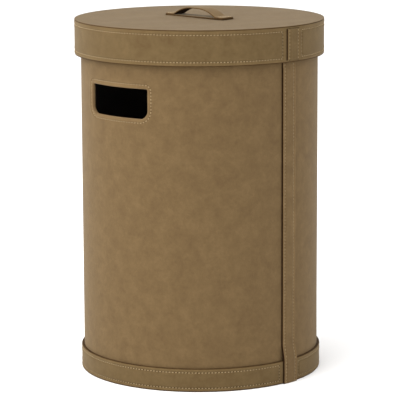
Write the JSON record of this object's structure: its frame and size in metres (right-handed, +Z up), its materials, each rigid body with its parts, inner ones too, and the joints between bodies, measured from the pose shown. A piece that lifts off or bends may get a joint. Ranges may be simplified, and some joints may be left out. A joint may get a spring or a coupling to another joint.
{
  "type": "round storage bin with lid",
  "caption": "Round upright storage bin of leather-look sheet over board, with a slip-over lid, a strap handle on the lid, sewn seam strips and hand holes in the wall.",
  "frame": {"origin": "on the bin's axis, at the level of the floor that it stands on", "axes": "+Z up along the bin's axis; -Y points at the upright seam strip; the hand holes face -X and +X; the lid's strap handle runs along Y"},
  "size_m": [0.3734, 0.3753, 0.544],
  "materials": {
    "cover": "nubuck-look faux leather, matt, taupe, with dark inked cut edges",
    "board": "grey-brown rolled board",
    "lining": "dark brown plain-woven lining",
    "thread": "beige twisted sewing thread",
    "underside": "black-brown non-woven sheet"
  },
  "bodies": {
    "bin": {"underside_cover": "underside", "base_board": "board", "base_lining": "lining", "wall_board": "board", "wall_cover": "cover", "wall_lining": "lining", "base_band": "cover", "top_binding": "cover", "seam_strip": "cover", "base_band_thread_upper": "thread", "base_band_thread_lower": "thread", "top_binding_thread": "thread", "seam_strip_threads": "thread", "hand_hole_thread_left": "thread", "hand_hole_thread_right": "thread"},
    "lid": {"lid_board": "board", "lid_top_cover": "cover", "lid_top_lining": "lining", "lid_rim_board": "board", "lid_rim_cover": "cover", "lid_rim_lining": "lining", "lid_seam_strip": "cover", "lid_rim_thread_upper": "thread", "lid_rim_thread_lower": "thread", "lid_strip_threads": "thread", "handle_base": "cover", "handle_strap": "cover", "handle_threads": "thread"}
  },
  "joints": [
    {"name": "lid_lift", "type": "slide", "parent": "bin", "child": "lid", "axis": [0, 0, 1], "range_m": [0, 0.2]}
  ]
}
